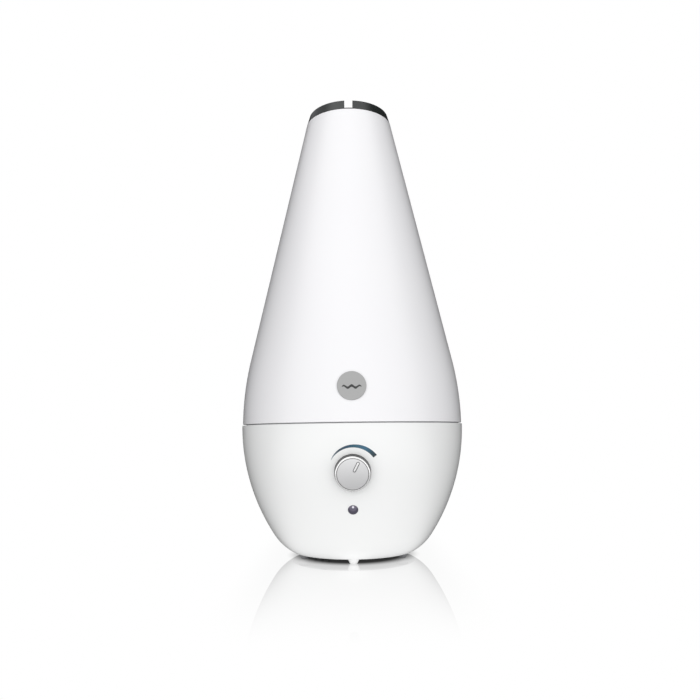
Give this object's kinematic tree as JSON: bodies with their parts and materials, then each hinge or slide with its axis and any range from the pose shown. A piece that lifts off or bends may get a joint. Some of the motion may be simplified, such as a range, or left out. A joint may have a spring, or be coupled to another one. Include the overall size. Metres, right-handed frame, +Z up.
{
  "type": "cool mist humidifier",
  "caption": "Teardrop ultrasonic humidifier: bowl base with a front knob and status lens, lift-off tapering water tank, filler cap with valve, turning slotted nozzle.",
  "frame": {"origin": "on the floor, under the middle of the base", "axes": "+Z up along the tank's axis, -Y towards the front, where the knob is, +X to the right seen from the front"},
  "size_m": [0.2, 0.2047, 0.413],
  "materials": {
    "white_gloss": "gloss",
    "white_matte": "fine matte",
    "trough_white": "satin",
    "foot_rubber": "matte",
    "smoke_gloss": "dark metallic gloss",
    "knob_silver": "silver satin",
    "pointer_light": "gloss",
    "badge_grey": "satin",
    "lens_smoke": "gloss",
    "cap_blue_grey": "satin",
    "valve_white": "satin",
    "seal_rubber": "matte",
    "gland_rubber": "matte",
    "float_plastic": "satin",
    "clip_plastic": "satin",
    "magnet": "matte",
    "steel": "brushed",
    "disc_metal": "satin",
    "black_plastic": "fine matte",
    "duct_plastic": "matte",
    "board_green": "satin",
    "terminal_green": "matte",
    "heat_sink": "matte",
    "pot_body": "satin",
    "lamp_clear": "clear",
    "reed_glass": "clear"
  },
  "bodies": {
    "base": {"base_shell": "white_gloss", "bottom_cover": "white_matte", "cover_screws": "steel", "foot_1": "foot_rubber", "foot_2": "foot_rubber", "foot_3": "foot_rubber", "foot_4": "foot_rubber", "foot_5": "foot_rubber", "foot_6": "foot_rubber", "water_trough": "trough_white", "transducer": "disc_metal", "transducer_seal": "seal_rubber", "transducer_retainer": "steel", "retainer_screws": "steel", "float_clip": "clip_plastic", "reed_switch": "reed_glass", "fan_housing": "black_plastic", "fan_stator": "black_plastic", "air_duct": "duct_plastic", "fan_screws": "steel", "driver_board": "board_green", "board_screws": "steel", "transformer": "magnet", "capacitor": "black_plastic", "terminal_block": "terminal_green", "power_transistor": "black_plastic", "heat_sink": "heat_sink", "potentiometer": "pot_body", "potentiometer_nut": "steel", "status_lens": "lens_smoke", "status_lamp": "lamp_clear", "lamp_board": "board_green", "cord_gland": "gland_rubber"},
    "control_knob": {"knob": "knob_silver", "knob_pointer": "pointer_light", "knob_shaft": "steel"},
    "fan_rotor": {"impeller": "black_plastic", "fan_axle": "steel"},
    "float": {"float_ring": "float_plastic", "float_magnet": "magnet"},
    "tank": {"tank_shell": "white_gloss", "tank_floor": "white_matte", "mist_tube": "white_matte", "badge": "badge_grey"},
    "filler_cap": {"tank_cap": "cap_blue_grey", "cap_seal": "seal_rubber", "valve_spring": "steel"},
    "valve": {"valve_stem": "valve_white", "valve_seal": "seal_rubber"},
    "collar": {"nozzle_collar": "white_matte", "collar_seal": "seal_rubber"},
    "nozzle": {"nozzle_cap": "smoke_gloss"}
  },
  "joints": [
    {"name": "tank_lift", "type": "slide", "parent": "base", "child": "tank", "axis": [0, 0, 1], "range_m": [0, 0.2]},
    {"name": "knob_turn", "type": "hinge", "parent": "base", "child": "control_knob", "pos_m": [0, -0.09577, 0.0773], "axis": [0, 0.9757, 0.2189], "range_deg": [-104, 28]},
    {"name": "fan_spin", "type": "hinge", "parent": "base", "child": "fan_rotor", "pos_m": [-0.05, 0, 0.059], "axis": [0, 0, 1], "continuous": true},
    {"name": "float_rise", "type": "slide", "parent": "base", "child": "float", "axis": [0, 0, 1], "range_m": [0, 0.0065]},
    {"name": "cap_turn", "type": "hinge", "parent": "tank", "child": "filler_cap", "pos_m": [0, 0.0665, 0.106], "axis": [0, 0, -1], "range_deg": [0, 540]},
    {"name": "valve_drop", "type": "slide", "parent": "filler_cap", "child": "valve", "axis": [0, 0, 1], "range_m": [-0.0025, 0], "deforming": ["valve_spring"]},
    {"name": "collar_lift", "type": "slide", "parent": "tank", "child": "collar", "axis": [0, 0, 1], "range_m": [0, 0.04]},
    {"name": "nozzle_turn", "type": "hinge", "parent": "collar", "child": "nozzle", "pos_m": [0, 0, 0.403], "axis": [0, 0, 1], "continuous": true}
  ],
  "couplings": [
    {"joint": "valve_drop", "follows": "tank_lift", "ratio": -0.0125}
  ]
}
